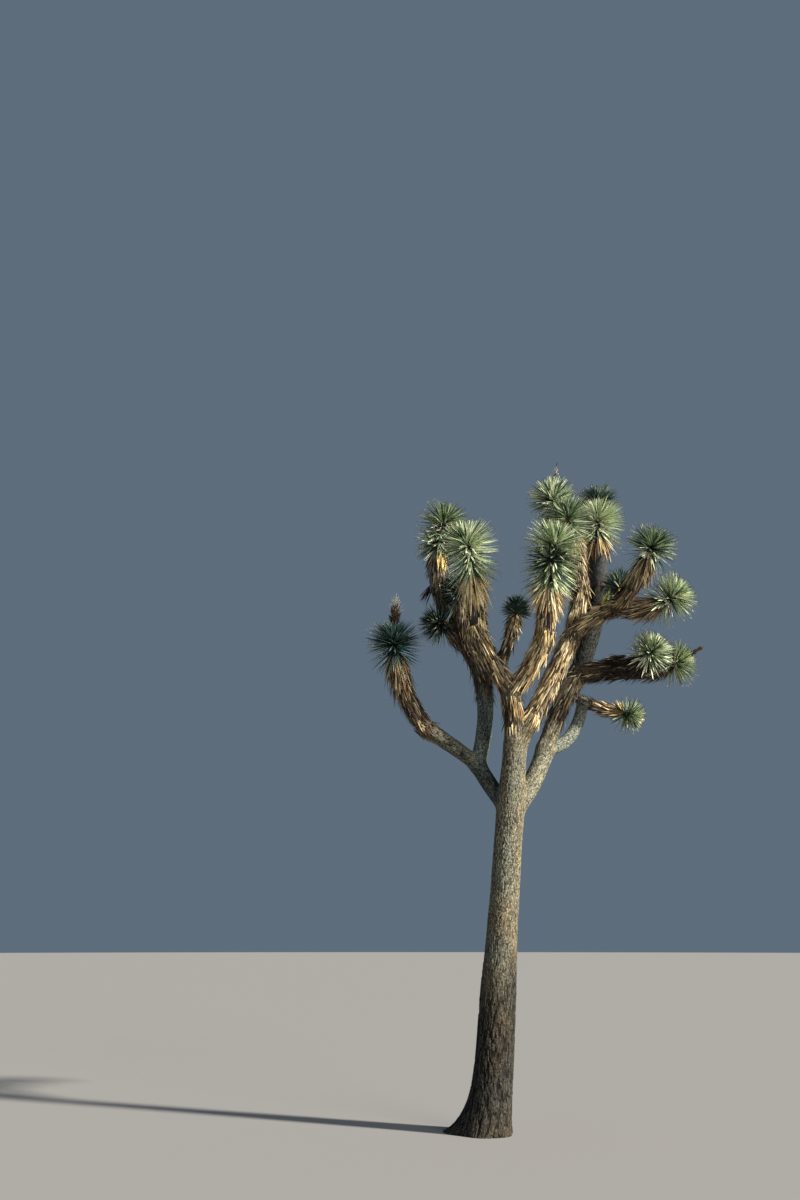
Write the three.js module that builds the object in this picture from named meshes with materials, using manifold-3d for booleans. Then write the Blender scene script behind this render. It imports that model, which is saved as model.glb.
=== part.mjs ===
// A Joshua tree about 6.2 m tall: a bare trunk with a one-sided root flare, two low boughs, a high fork,
// and seventeen heads of bayonet leaves with skirts of dead leaves below them.
// Millimetres, +Z up, origin on the flat ground cut at the trunk's axis, -Y towards the viewer.
import * as THREE from "three";
import { mergeVertices } from "three/addons/utils/BufferGeometryUtils.js";
import Module from "manifold-3d";

const wasm = await Module();
wasm.setup();

// Clearances and fineness.
const GAP = 0.35; // between a limb and what springs from it
const TRUNK_SIDES = 18;
const TRUNK_RINGS = 14; // below the round top
const FLARE_CROWDING = 1.8; // the trunk's rings crowd towards the flare by this power
const LIMB_SIDES = 9;
const LIMB_RING_SPACING = 200;
const TIP_RINGS = 3; // round a limb's tip
const STEM_SIDES = 7;
const STEM_RING_SPACING = 210;

// The trunk: a slight lean to the right, a round top in the fork, and a root flare widest at the back left.
const TRUNK_MIDDLE = [148, 8, 1720];
const TRUNK_TIP = [306, -48, 3420];
const TRUNK_TAPER = [
  [0, 170],
  [1100, 156],
  [1700, 136],
  [2200, 126],
  [2800, 127],
  [3100, 114],
  [3330, 104],
]; // height and radius
const TRUNK_DOME = 80; // height of the round top
const FLARE_HEIGHT = 165; // the flare fades by this height constant
const FLARE_LOBES = [
  { compass: 155, reach: 255, sharpness: 3.0 },
  { compass: 235, reach: 95, sharpness: 4.0 },
  { compass: 300, reach: 55, sharpness: 4.0 },
  { compass: 60, reach: 90, sharpness: 3.0 },
];

// Limbs: each springs from a share of its parent's run, or from its parent's round tip where no share is
// given, bends through one point and ends at its tip. radius is [at the root, at the tip].
const LIMBS = [
  { name: "bough_left", on: "trunk", at: 0.796,
    via: [66, 132, 2990], tip: [-66, 253, 3256], radius: [74, 77] },
  { name: "arm_left_low", on: "bough_left",
    via: [-338, 126, 3390], tip: [-600, 0, 3540], radius: [66, 82] },
  { name: "arm_left_high", on: "bough_left",
    via: [56, 372, 3850], tip: [-90, 445, 4390], radius: [71, 86] },
  { name: "bough_middle", on: "trunk", at: 0.955,
    via: [276, -125, 3640], tip: [242, -198, 3894], radius: [84, 96] },
  { name: "arm_middle_left", on: "bough_middle",
    via: [90, -272, 4050], tip: [-92, -352, 4400], radius: [82, 88] },
  { name: "arm_middle_right", on: "bough_middle",
    via: [449, -330, 4034], tip: [580, -520, 4330], radius: [84, 92] },
  { name: "bough_right", on: "trunk", at: 0.965,
    via: [587, -60, 3807], tip: [900, -10, 4440], radius: [84, 90] },
  { name: "arm_right_inner", on: "bough_right",
    via: [940, 30, 4640], tip: [1003, 80, 4930], radius: [78, 84] },
  { name: "arm_right_outer", on: "bough_right",
    via: [1081, -120, 4530], tip: [1328, -280, 4625], radius: [74, 80] },
  { name: "bough_low_right", on: "trunk", at: 0.785,
    via: [466, 120, 3015], tip: [634, 221, 3408], radius: [84, 88] },
  { name: "arm_back_right", on: "bough_low_right",
    via: [800, 320, 3790], tip: [1008, 350, 4150], radius: [77, 92] },
  { name: "arm_right_low", on: "arm_back_right",
    via: [1200, 290, 4112], tip: [1440, 180, 4128], radius: [84, 114] },
  { name: "arm_back_high", on: "arm_back_right",
    via: [1142, 478, 4560], tip: [1270, 595, 5110], radius: [86, 100] },
  { name: "arm_low_outer", on: "bough_low_right",
    via: [902, 520, 3518], tip: [1072, 740, 3937], radius: [60, 58] },
];

// Heads: heart is the middle of the ball of live leaves, facing the way the head grows, live and skirt the
// lengths of stem that carry green and dead leaves, leaf the length of a leaf.
const HEADS = [
  { name: "head_far_left", on: "arm_left_low", heart: [-829, -150, 4296], facing: [-0.06, -0.42, 0.9],
    live: 190, skirt: 520, leaf: 258, stalk: { length: 400, lean: [0.05, 0.1, 1] } },
  { name: "head_left_top", on: "arm_left_high", heart: [-319, 385, 5679], facing: [0.33, -0.15, 1],
    live: 360, skirt: 720, leaf: 250 },
  { name: "head_left_back", on: "arm_left_high", heart: [-199, 200, 4922], facing: [-0.08, -0.25, 0.95],
    live: 150, skirt: 200, leaf: 190, slim: 0.8 },
  { name: "head_left_side", on: "arm_left_high", heart: [-390, 400, 4615], facing: [-0.85, -0.45, 0.25],
    live: 150, skirt: 150, leaf: 215 },
  { name: "head_middle_left", on: "arm_middle_left", heart: [-140, -420, 5185], facing: [-0.22, -0.35, 0.93],
    live: 330, skirt: 400, leaf: 288 },
  { name: "head_small_middle", on: "arm_middle_left", at: 0.33,
    heart: [339, -150, 4607], facing: [0.2, 0.1, 0.97], live: 110, skirt: 330, leaf: 150, slim: 0.62 },
  { name: "head_middle_right", on: "arm_middle_right", heart: [650, -690, 5084], facing: [0.15, -0.33, 0.93],
    live: 420, skirt: 380, leaf: 288 },
  { name: "head_top", on: "arm_right_inner", heart: [776, 400, 5944], facing: [-0.25, 0.1, 0.97],
    live: 330, skirt: 560, leaf: 244, stalk: { length: 370, lean: [0.2, 0.05, 1] } },
  { name: "head_top_front", on: "arm_right_inner", heart: [873, -10, 5596], facing: [-0.22, -0.3, 0.92],
    live: 230, skirt: 400, leaf: 250 },
  { name: "head_right_tall", on: "arm_back_high", heart: [1262, 520, 5750], facing: [0.02, -0.16, 0.97],
    live: 220, skirt: 240, leaf: 290 },
  { name: "head_back_tall", on: "arm_back_high", heart: [1336, 930, 6080], facing: [0.1, -0.1, 1],
    live: 200, skirt: 520, leaf: 228 },
  { name: "head_right_high", on: "arm_right_outer", heart: [1562, -585, 5098], facing: [0.3, -0.32, 0.9],
    live: 150, skirt: 400, leaf: 240, slim: 0.88 },
  { name: "head_right_outer", on: "arm_right_outer", heart: [1793, -300, 4692], facing: [0.75, -0.25, 0.6],
    live: 190, skirt: 360, leaf: 240 },
  { name: "head_right_back", on: "arm_right_outer", heart: [1386, 190, 4945], facing: [0, 0.3, 0.95],
    live: 120, skirt: 300, leaf: 180, slim: 0.78 },
  { name: "head_low_front", on: "arm_right_low", heart: [1609, -95, 4214], facing: [0.42, -0.5, 0.75],
    live: 140, skirt: 200, leaf: 214 },
  { name: "head_low_right", on: "arm_right_low", heart: [1923, 255, 4178], facing: [0.85, -0.1, 0.35],
    live: 150, skirt: 280, leaf: 212, stalk: { length: 300, lean: [0.85, 0.1, 0.55] } },
  { name: "head_lowest", on: "arm_low_outer", heart: [1559, 900, 3783], facing: [0.85, -0.35, -0.22],
    live: 120, skirt: 300, leaf: 185, slim: 0.62 },
];

// The stem inside a head: its radius at the growing tip, under the live leaves, and under the skirt.
const GROWING_TIP = { length: 45, radius: 20 };
const LIVE_RADIUS = [46, 62];
const SKIRT_RADIUS = [88, 84];
const SKIRT_SHOULDER = 70; // below the live leaves the stem widens to the skirt over this length
const FOOT_SLEEVE = 13; // the stem's foot stands this far out of the round tip that it sits on
const STEM_SWING = 0.56; // how early a stem swings round to the way its head grows
const HEART_DEPTH = 50; // the heart lies this far below the growing tip

// How leaves stand on a stem. Leans are measured from the way the head grows.
const CROWN = { length: 100, count: 19, leans: [10, 95] }; // the live leaves next to the growing tip
const FALL = { spacing: 20, leans: [95, 138] }; // and those further down, which droop
const DEAD = { spacing: 66, leans: [150, 165] };
const GOLDEN_TURN = THREE.MathUtils.degToRad(137.508);
const LEAN_JITTER = 6;
const TURN_JITTER = 0.2;
const LENGTH_JITTER = 0.05;
const DEAD_SHARE = 0.8; // a dead leaf's length against a live one's
const LEAF_WIDTH = 0.2; // share of the length; each leaf stands for a spray of about fifteen
const LEAF_THICKNESS = 0.09;
const LEAF_WAIST = 0.42; // share of the length where the leaf is widest
const LEAF_ROLL = 75; // a leaf is turned about its own length by up to this much
const ROOT_SUNK = 24; // a leaf's root starts this far under the stem's surface
const NEAREST_STEPS = 14;
const LEAF_CLEAR = 14; // a leaf's middle stays this far off a limb

// The dry flower stalks.
const STALK_GIRTH = 150;
const STALK_STUBS = 3;
const STUB_REACH = 45;
const STUB_GIRTH = 90;

const vec = ([x, y, z]) => new THREE.Vector3(x, y, z);
const { lerp, degToRad } = THREE.MathUtils;

// A seeded stream of numbers from 0 to 1.
function randomStream(seed) {
  let state = seed >>> 0;
  return () => {
    state = (state + 0x6d2b79f5) >>> 0;
    let t = state;
    t = Math.imul(t ^ (t >>> 15), t | 1);
    t ^= t + Math.imul(t ^ (t >>> 7), t | 61);
    return ((t ^ (t >>> 14)) >>> 0) / 4294967296;
  };
}

// The value at x of a line drawn through [x, value] pairs.
function along(profile, x) {
  const next = profile.findIndex(([at]) => at >= x);
  if (next <= 0) return profile[next < 0 ? profile.length - 1 : 0][1];
  const [x0, v0] = profile[next - 1];
  const [x1, v1] = profile[next];
  return lerp(v0, v1, (x - x0) / (x1 - x0));
}

// How much a round tip has drawn in, from 1 at its foot to a small flat at its end.
function roundIn(past) {
  return Math.sqrt(1 - 0.9 * Math.min(1, Math.max(0, past)) ** 2);
}

// A geometry as a solid that joins and cuts.
function solidFrom(geometry) {
  const bare = new THREE.BufferGeometry();
  bare.setAttribute("position", geometry.getAttribute("position"));
  bare.setIndex(geometry.index);
  const merged = mergeVertices(bare, 1e-3);
  return new wasm.Manifold(
    new wasm.Mesh({
      numProp: 3,
      vertProperties: merged.attributes.position.array,
      triVerts: new Uint32Array(merged.index.array),
    }),
  );
}

// The largest of a solid's separate bodies.
function largestBody(solid) {
  const bodies = solid.decompose();
  return bodies.reduce((best, body) => (body.volume() > best.volume() ? body : best));
}

// A closed round bar along a curve: a cylinder whose rings are moved onto the curve at the given shares of
// its run. radiusAt(share, angle) gives its radius, level keeps each ring horizontal, and grow makes the
// whole bar larger by that much, at its ends too.
function barAlong(curve, shares, radiusAt, { sides, level = false, grow = 0 }) {
  const last = shares.length - 1;
  const bar = new THREE.CylinderGeometry(1, 1, 1, sides, last);
  const frames = frameTable(curve, shares, level);
  frames[0].centre.addScaledVector(frames[0].run, -grow);
  frames[last].centre.addScaledVector(frames[last].run, grow);
  const position = bar.getAttribute("position");
  for (let i = 0; i < position.count; i++) {
    const frame = frames[Math.round((position.getY(i) + 0.5) * last)];
    const across = Math.hypot(position.getX(i), position.getZ(i));
    const angle = Math.atan2(position.getZ(i), position.getX(i));
    const radius = across * (radiusAt(frame.share, angle) + grow);
    const place = frame.centre
      .clone()
      .addScaledVector(frame.side, radius * Math.cos(angle))
      .addScaledVector(frame.other, radius * Math.sin(angle));
    position.setXYZ(i, place.x, place.y, place.z);
  }
  return solidFrom(bar);
}

// Centre and two cross directions of each ring, turned as little as possible from one ring to the next.
function frameTable(curve, shares, level) {
  let side = new THREE.Vector3(1, 0, 0);
  return shares.map((share) => {
    const run = level ? new THREE.Vector3(0, 0, 1) : curve.getTangentAt(share);
    side = side.clone().addScaledVector(run, -side.dot(run)).normalize();
    const other = side.clone().cross(run).normalize();
    return { share, run, side, other, centre: curve.getPointAt(share) };
  });
}

// A curve from start to tip that passes through via halfway.
function bend(start, via, tip) {
  const control = via.clone().multiplyScalar(2).addScaledVector(start, -0.5).addScaledVector(tip, -0.5);
  return new THREE.QuadraticBezierCurve3(start, control, tip);
}

// The shares where a bar with a round tip has its rings: steps up to the tip's foot, crowded towards the root
// by a power, and then round the tip.
function ringShares(foot, steps, crowding = 1) {
  return Array.from({ length: steps + TIP_RINGS + 1 }, (_, ring) => {
    if (ring <= steps) return foot * Math.pow(ring / steps, crowding);
    return foot + (1 - foot) * Math.sin((Math.PI / 2) * ((ring - steps) / TIP_RINGS));
  });
}

// The trunk's radius at a share of its run, with the root flare's lobes.
function trunkRadius(share, angle) {
  const height = share * TRUNK_TIP[2];
  const flare = FLARE_LOBES.reduce((sum, lobe) => {
    const facing = Math.cos(angle + degToRad(lobe.compass));
    return sum + lobe.reach * Math.pow(Math.max(0, facing), lobe.sharpness);
  }, 0);
  const past = (height - (TRUNK_TIP[2] - TRUNK_DOME)) / TRUNK_DOME;
  return along(TRUNK_TAPER, height) * roundIn(past) + flare * Math.exp(-height / FLARE_HEIGHT);
}

// What the tree is made of so far: name, curve, radius at a share, the share that its offspring spring from,
// and the solid grown by the gap.
const placed = new Map();

// Cuts a solid back from every placed limb or head that it could meet.
function cutBack(solid) {
  let rest = solid;
  for (const { grown } of placed.values()) {
    const common = rest.intersect(grown);
    if (!common.isEmpty()) rest = rest.subtract(grown);
  }
  return largestBody(rest);
}

const tree = new THREE.Group();
tree.name = "joshua_tree";
const MATERIALS = {
  bark: new THREE.MeshStandardMaterial({ color: 0x7d6e5c, roughness: 0.95, metalness: 0 }),
  leaf: new THREE.MeshStandardMaterial({ color: 0x6f8763, roughness: 0.6, metalness: 0 }),
};

// Adds a solid to the tree as a named mesh.
function addMesh(name, solid, material) {
  const { vertProperties, triVerts } = solid.getMesh();
  const geometry = new THREE.BufferGeometry();
  geometry.setAttribute("position", new THREE.BufferAttribute(vertProperties, 3));
  geometry.setIndex(new THREE.BufferAttribute(triVerts, 1));
  geometry.computeVertexNormals();
  const mesh = new THREE.Mesh(geometry, material);
  mesh.name = name;
  tree.add(mesh);
}

function addTrunk() {
  const curve = bend(new THREE.Vector3(), vec(TRUNK_MIDDLE), vec(TRUNK_TIP));
  const shares = ringShares(1 - TRUNK_DOME / TRUNK_TIP[2], TRUNK_RINGS, FLARE_CROWDING);
  const shape = (grow) => barAlong(curve, shares, trunkRadius, { sides: TRUNK_SIDES, level: true, grow });
  placed.set("trunk", { curve, radius: (share) => trunkRadius(share, 0), grown: shape(GAP) });
  addMesh("trunk", shape(0), MATERIALS.bark);
}

// A limb: a straight taper with a round tip as long as its radius.
function addLimb({ name, on, at, via, tip, radius: [rootRadius, tipRadius] }) {
  const parent = placed.get(on);
  const curve = bend(parent.curve.getPointAt(at ?? parent.perch), vec(via), vec(tip));
  const perch = 1 - tipRadius / curve.getLength();
  const radius = (share) => lerp(rootRadius, tipRadius, share) * roundIn((share - perch) / (1 - perch));
  const shares = ringShares(perch, Math.ceil((perch * curve.getLength()) / LIMB_RING_SPACING));
  const shape = (grow) => barAlong(curve, shares, radius, { sides: LIMB_SIDES, grow });
  const solid = cutBack(shape(0));
  placed.set(name, { curve, radius, perch, grown: shape(GAP) });
  addMesh(name, solid, MATERIALS.bark);
}

// A head's stem: it leaves the bough, swings round to the way the head grows and ends at the growing tip.
function stemOf({ on, at, heart, facing, live, skirt, slim = 1 }) {
  const parent = placed.get(on);
  const from = at ?? parent.perch;
  const start = parent.curve.getPointAt(from);
  const growth = vec(facing).normalize();
  const tip = vec(heart).addScaledVector(growth, HEART_DEPTH);
  const control = tip.clone().addScaledVector(growth, -STEM_SWING * tip.distanceTo(start));
  const curve = new THREE.QuadraticBezierCurve3(start, control, tip);
  const run = curve.getLength();
  const shoulder = live + SKIRT_SHOULDER;
  const foot = at ? slim * SKIRT_RADIUS[1] : parent.radius(from) + FOOT_SLEEVE;
  const profile = [
    [0, slim * GROWING_TIP.radius],
    [GROWING_TIP.length, slim * LIVE_RADIUS[0]],
    [live, slim * LIVE_RADIUS[1]],
    [shoulder, slim * SKIRT_RADIUS[0]],
    [live + skirt, slim * SKIRT_RADIUS[1]],
    [Math.max(run, live + skirt + 1), foot],
  ];
  const radius = (share) => along(profile, (1 - share) * run);
  const steps = Math.ceil((run - shoulder) / STEM_RING_SPACING);
  const backs = Array.from({ length: steps }, (_, step) => lerp(run, shoulder, step / steps));
  backs.push(shoulder, live, live / 2, GROWING_TIP.length, 0);
  return { curve, run, radius, shares: backs.map((back) => 1 - back / run) };
}

// The leaves of a head, each with its root under the stem's surface, its tip, its length and the way across.
// The rule is the spiral of a growing shoot: each leaf is a golden turn on from the last, standing up at the
// tip and hanging at the foot.
function leavesOf({ live, skirt, leaf }, { curve, run, radius }, seed) {
  const random = randomStream(seed);
  const jitter = (size) => size * (2 * random() - 1);
  const leaves = [];
  const grow = (k, back, lean, size) => {
    const at = 1 - back / run;
    const growth = curve.getTangentAt(at);
    const tilt = lean + degToRad(jitter(LEAN_JITTER));
    const turn = k * GOLDEN_TURN + jitter(TURN_JITTER);
    const out = new THREE.Vector3(0, 1, 0).cross(growth).normalize().applyAxisAngle(growth, turn);
    const way = growth.clone().multiplyScalar(Math.cos(tilt)).addScaledVector(out, Math.sin(tilt));
    const root = curve.getPointAt(at).addScaledVector(out, Math.max(0, radius(at) - ROOT_SUNK));
    const length = leaf * size * (1 + jitter(LENGTH_JITTER));
    const flat = growth.clone().cross(out).applyAxisAngle(way, degToRad(jitter(LEAF_ROLL)));
    leaves.push({ root, tip: root.clone().addScaledVector(way, length), flat, length });
  };
  const cosines = CROWN.leans.map((lean) => Math.cos(degToRad(lean)));
  const falling = Math.round((live - CROWN.length) / FALL.spacing);
  const dead = Math.round(skirt / DEAD.spacing);
  for (let k = 0; k < CROWN.count; k++) {
    const share = (k + 0.5) / CROWN.count;
    grow(k, share * CROWN.length, Math.acos(lerp(...cosines, share)), 1);
  }
  for (let k = 0; k < falling; k++) {
    const share = (k + 0.5) / falling;
    grow(CROWN.count + k, lerp(CROWN.length, live, share), degToRad(lerp(...FALL.leans, share)), 1);
  }
  for (let k = 0; k < dead; k++) {
    const share = (k + 0.5) / dead;
    grow(k, live + share * skirt, degToRad(lerp(...DEAD.leans, share)), DEAD_SHARE);
  }
  return leaves;
}

// One leaf as a blade of eight faces, pointed at both ends. flat is the way across its width.
function leafBlade({ root, tip, flat, length }) {
  const blade = new THREE.OctahedronGeometry(1);
  const way = tip.clone().sub(root).normalize();
  const thick = flat.clone().cross(way);
  const reach = tip.distanceTo(root);
  const position = blade.getAttribute("position");
  for (let i = 0; i < position.count; i++) {
    const [x, y, z] = [position.getX(i), position.getY(i), position.getZ(i)];
    const share = y > 0.5 ? 1 : y < -0.5 ? 0 : LEAF_WAIST;
    const place = root
      .clone()
      .addScaledVector(way, share * reach)
      .addScaledVector(flat, (x * length * LEAF_WIDTH) / 2)
      .addScaledVector(thick, (z * length * LEAF_THICKNESS) / 2);
    position.setXYZ(i, place.x, place.y, place.z);
  }
  return solidFrom(blade);
}

// The distance from a point to a curve, and the share of the run where the curve is nearest.
function nearest(curve, point) {
  let best = { distance: Infinity, share: 0 };
  for (let step = 0; step <= NEAREST_STEPS; step++) {
    const share = step / NEAREST_STEPS;
    const distance = curve.getPointAt(share).distanceTo(point);
    if (distance < best.distance) best = { distance, share };
  }
  return best;
}

// True where a leaf keeps to its own head's space: nearer to its own stem than to any other, off all limbs.
function keepsItsSpace(leaf, name, stems) {
  const own = stems.get(name).curve;
  return [0.4, 0.7, 1].every((share) => {
    const point = leaf.root.clone().lerp(leaf.tip, share);
    const mine = nearest(own, point).distance;
    const offHeads = [...stems].every(([other, { curve }]) => {
      return other === name || nearest(curve, point).distance > mine + leaf.length * LEAF_WIDTH;
    });
    const offLimbs = [...placed.values()].every(({ curve, radius }) => {
      const found = nearest(curve, point);
      return found.distance > radius(found.share) + LEAF_CLEAR;
    });
    return offHeads && offLimbs;
  });
}

// A dry flower stalk: a thin tapering stem with short stubs that stand out of it in a spiral.
function stalkPieces({ length, lean }, base) {
  const way = vec(lean).normalize();
  const side = way.clone().cross(new THREE.Vector3(0, 1, 0)).normalize();
  const other = way.clone().cross(side);
  const tip = base.clone().addScaledVector(way, length);
  const pieces = [leafBlade({ root: base, tip, flat: side, length: STALK_GIRTH })];
  for (let k = 0; k < STALK_STUBS; k++) {
    const turn = k * GOLDEN_TURN;
    const out = side.clone().multiplyScalar(Math.cos(turn)).addScaledVector(other, Math.sin(turn));
    const root = base.clone().addScaledVector(way, length * lerp(0.62, 0.84, k / (STALK_STUBS - 1)));
    const end = root.clone().addScaledVector(out, STUB_REACH).addScaledVector(way, STUB_REACH);
    const flat = out.clone().cross(way);
    pieces.push(leafBlade({ root, tip: end, flat, length: STUB_GIRTH }));
  }
  return pieces;
}

function addHead(head, index, stems) {
  const stem = stems.get(head.name);
  const shape = (grow) => barAlong(stem.curve, stem.shares, stem.radius, { sides: STEM_SIDES, grow });
  const leaves = leavesOf(head, stem, index + 1).filter((leaf) => keepsItsSpace(leaf, head.name, stems));
  const blades = leaves.map(leafBlade);
  if (head.stalk) blades.push(...stalkPieces(head.stalk, vec(head.heart)));
  const whole = cutBack(blades.reduce((sum, blade) => sum.add(blade), cutBack(shape(0))));
  placed.set(head.name, { ...stem, grown: shape(GAP) });
  addMesh(head.name, whole, MATERIALS.leaf);
}

addTrunk();
LIMBS.forEach(addLimb);
const stems = new Map(HEADS.map((head) => [head.name, stemOf(head)]));
HEADS.forEach((head, index) => addHead(head, index, stems));

export default tree;
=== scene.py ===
"""The looks of a Joshua tree: furrowed and thatched bark, heads of bayonet leaves with brown spines,
skirts of dead leaves and dry flower stalks, grown along the same limbs and stems as the solids."""

import math

import bmesh
import bpy
import numpy as np
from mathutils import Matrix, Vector


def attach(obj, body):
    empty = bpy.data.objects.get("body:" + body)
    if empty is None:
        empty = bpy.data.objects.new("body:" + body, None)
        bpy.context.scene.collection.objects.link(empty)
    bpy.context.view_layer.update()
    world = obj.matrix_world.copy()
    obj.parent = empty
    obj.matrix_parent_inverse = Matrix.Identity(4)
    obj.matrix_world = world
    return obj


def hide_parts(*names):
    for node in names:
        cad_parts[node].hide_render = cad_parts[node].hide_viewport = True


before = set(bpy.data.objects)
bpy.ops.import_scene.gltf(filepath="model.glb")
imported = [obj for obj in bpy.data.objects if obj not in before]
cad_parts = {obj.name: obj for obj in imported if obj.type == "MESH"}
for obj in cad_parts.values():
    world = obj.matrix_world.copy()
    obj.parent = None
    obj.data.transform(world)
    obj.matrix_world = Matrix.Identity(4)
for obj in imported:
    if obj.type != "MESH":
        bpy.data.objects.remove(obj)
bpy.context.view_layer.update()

# The camera: a 36 mm lens at eye level, tilted up at the crown.
EYE = (-0.768452, -11.1, 1.6)
TILT_UP = math.radians(15.787)
LENS = 36
SENSOR = 36

# The stage. Lamps are soft suns: turn to the right of the camera's side, height, spread, power and colour.
FLOOR_RADIUS = 150
FLOOR_COLOUR = (0.275, 0.272, 0.275, 1)
SKY_COLOUR = (0.56, 0.77, 1, 1)
SKY_STRENGTH = 0.2
LAMPS = {
    "key": (64, 27, 4, 9.2, (1, 0.93, 0.8)),
    "fill": (32, 18, 25, 1.35, (1, 0.95, 0.86)),
}

# The trunk, in metres: it leans to the right and stands on a root flare that is widest at the back left.
TRUNK_MIDDLE = (0.148, 0.008, 1.72)
TRUNK_TIP = (0.306, -0.048, 3.42)
TRUNK_HEIGHTS = (0, 1.1, 1.7, 2.2, 2.8, 3.1, 3.33)
TRUNK_RADII = (0.17, 0.156, 0.136, 0.126, 0.127, 0.114, 0.104)
TRUNK_DOME = 0.08
FLARE_HEIGHT = 0.165
FLARE_LOBES = ((155, 0.255, 3), (235, 0.095, 4), (300, 0.055, 4), (60, 0.09, 3))  # compass, reach, power

# Limbs: name, what it springs from, via, tip, radii at root and tip, and the share of that limb's run where
# it springs, if that isn't at the tip.
LIMBS = (
    ("bough_left", "trunk", (0.066, 0.132, 2.99), (-0.066, 0.253, 3.256), (0.074, 0.077), 0.796),
    ("arm_left_low", "bough_left", (-0.338, 0.126, 3.39), (-0.6, 0, 3.54), (0.066, 0.082)),
    ("arm_left_high", "bough_left", (0.056, 0.372, 3.85), (-0.09, 0.445, 4.39), (0.071, 0.086)),
    ("bough_middle", "trunk", (0.276, -0.125, 3.64), (0.242, -0.198, 3.894), (0.084, 0.096), 0.955),
    ("arm_middle_left", "bough_middle", (0.09, -0.272, 4.05), (-0.092, -0.352, 4.4), (0.082, 0.088)),
    ("arm_middle_right", "bough_middle", (0.449, -0.33, 4.034), (0.58, -0.52, 4.33), (0.084, 0.092)),
    ("bough_right", "trunk", (0.587, -0.06, 3.807), (0.9, -0.01, 4.44), (0.084, 0.09), 0.965),
    ("arm_right_inner", "bough_right", (0.94, 0.03, 4.64), (1.003, 0.08, 4.93), (0.078, 0.084)),
    ("arm_right_outer", "bough_right", (1.081, -0.12, 4.53), (1.328, -0.28, 4.625), (0.074, 0.08)),
    ("bough_low_right", "trunk", (0.466, 0.12, 3.015), (0.634, 0.221, 3.408), (0.084, 0.088), 0.785),
    ("arm_back_right", "bough_low_right", (0.8, 0.32, 3.79), (1.008, 0.35, 4.15), (0.077, 0.092)),
    ("arm_right_low", "arm_back_right", (1.2, 0.29, 4.112), (1.44, 0.18, 4.128), (0.084, 0.114)),
    ("arm_back_high", "arm_back_right", (1.142, 0.478, 4.56), (1.27, 0.595, 5.11), (0.086, 0.1)),
    ("arm_low_outer", "bough_low_right", (0.902, 0.52, 3.518), (1.072, 0.74, 3.937), (0.06, 0.058)),
)

# Heads: name, limb, heart of the live ball, the way it grows, the lengths of stem with live and dead leaves,
# a leaf's length, how slim the stem is, and the share of the limb's run, if it isn't at the tip.
HEADS = (
    ("head_far_left", "arm_left_low", (-0.829, -0.15, 4.296), (-0.06, -0.42, 0.9), 0.19, 0.52, 0.258),
    ("head_left_top", "arm_left_high", (-0.319, 0.385, 5.679), (0.33, -0.15, 1), 0.36, 0.72, 0.25),
    ("head_left_back", "arm_left_high", (-0.199, 0.2, 4.922), (-0.08, -0.25, 0.95), 0.15, 0.2, 0.19, 0.8),
    ("head_left_side", "arm_left_high", (-0.39, 0.4, 4.615), (-0.85, -0.45, 0.25), 0.15, 0.15, 0.215),
    ("head_middle_left", "arm_middle_left", (-0.14, -0.42, 5.185), (-0.22, -0.35, 0.93), 0.33, 0.4, 0.288),
    ("head_small_middle", "arm_middle_left", (0.339, -0.15, 4.607), (0.2, 0.1, 0.97), 0.11, 0.33, 0.15, 0.62,
     0.33),
    ("head_middle_right", "arm_middle_right", (0.65, -0.69, 5.084), (0.15, -0.33, 0.93), 0.42, 0.38, 0.288),
    ("head_top", "arm_right_inner", (0.776, 0.4, 5.944), (-0.25, 0.1, 0.97), 0.33, 0.56, 0.244),
    ("head_top_front", "arm_right_inner", (0.873, -0.01, 5.596), (-0.22, -0.3, 0.92), 0.23, 0.4, 0.25),
    ("head_right_tall", "arm_back_high", (1.262, 0.52, 5.75), (0.02, -0.16, 0.97), 0.22, 0.24, 0.29),
    ("head_back_tall", "arm_back_high", (1.336, 0.93, 6.08), (0.1, -0.1, 1), 0.2, 0.52, 0.228),
    ("head_right_high", "arm_right_outer", (1.562, -0.585, 5.098), (0.3, -0.32, 0.9), 0.15, 0.4, 0.24, 0.88),
    ("head_right_outer", "arm_right_outer", (1.793, -0.3, 4.692), (0.75, -0.25, 0.6), 0.19, 0.36, 0.24),
    ("head_right_back", "arm_right_outer", (1.386, 0.19, 4.945), (0, 0.3, 0.95), 0.12, 0.3, 0.18, 0.78),
    ("head_low_front", "arm_right_low", (1.609, -0.095, 4.214), (0.42, -0.5, 0.75), 0.14, 0.2, 0.214),
    ("head_low_right", "arm_right_low", (1.923, 0.255, 4.178), (0.85, -0.1, 0.35), 0.15, 0.28, 0.212),
    ("head_lowest", "arm_low_outer", (1.559, 0.9, 3.783), (0.85, -0.35, -0.22), 0.12, 0.3, 0.185, 0.62),
)

# The stem inside a head.
GROWING_TIP = (0.045, 0.02)  # length and radius
LIVE_RADII = (0.046, 0.062)
SKIRT_RADII = (0.088, 0.084)
SKIRT_SHOULDER = 0.07
STEM_SWING = 0.56
HEART_DEPTH = 0.05
STEM_TUBE = (0.012, 36, 0.004)  # spacing of rings, sides and unevenness
STALK_TUBE = (0.02, 8, 0.001)  # the same for a flower stalk
STEM_UNDER_THATCH = 0.012  # the stem's own surface lies this far under the thatch

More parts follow.
